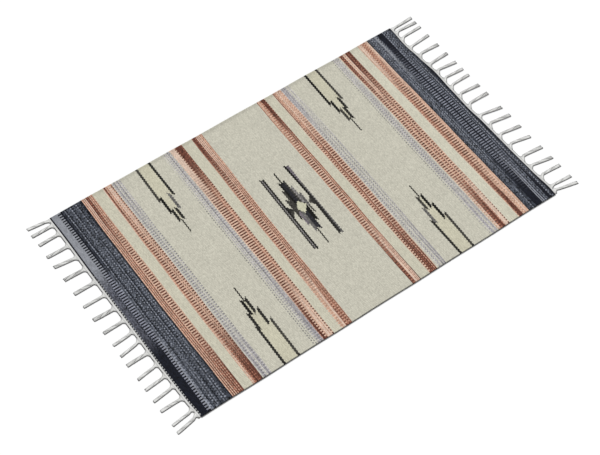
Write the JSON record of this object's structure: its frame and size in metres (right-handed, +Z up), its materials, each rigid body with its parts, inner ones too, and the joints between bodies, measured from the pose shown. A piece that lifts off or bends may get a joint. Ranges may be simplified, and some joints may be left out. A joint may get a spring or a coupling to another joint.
{
  "type": "kilim rug",
  "caption": "Small rectangular flat-woven kilim rug with banded stripes, stepped motifs and a white fringe of gathered warp ends at each end; lies flat on a floor.",
  "frame": {"origin": "middle of the woven cloth's underside, on the surface that the rug lies on", "axes": "+X along the warps towards the end with 20 tassels, +Y across the rug, +Z up out of the face"},
  "size_m": [1.0741, 0.6127, 0.005],
  "materials": {
    "woven_cloth": "matt weft-faced flat weave with cream fields, terracotta and grey bands and dark slate ends",
    "fringe_yarn": "matt undyed cotton yarn"
  },
  "bodies": {
    "root": {"woven_body": "woven_cloth", "fringe_left": "fringe_yarn", "fringe_right": "fringe_yarn"}
  },
  "joints": []
}
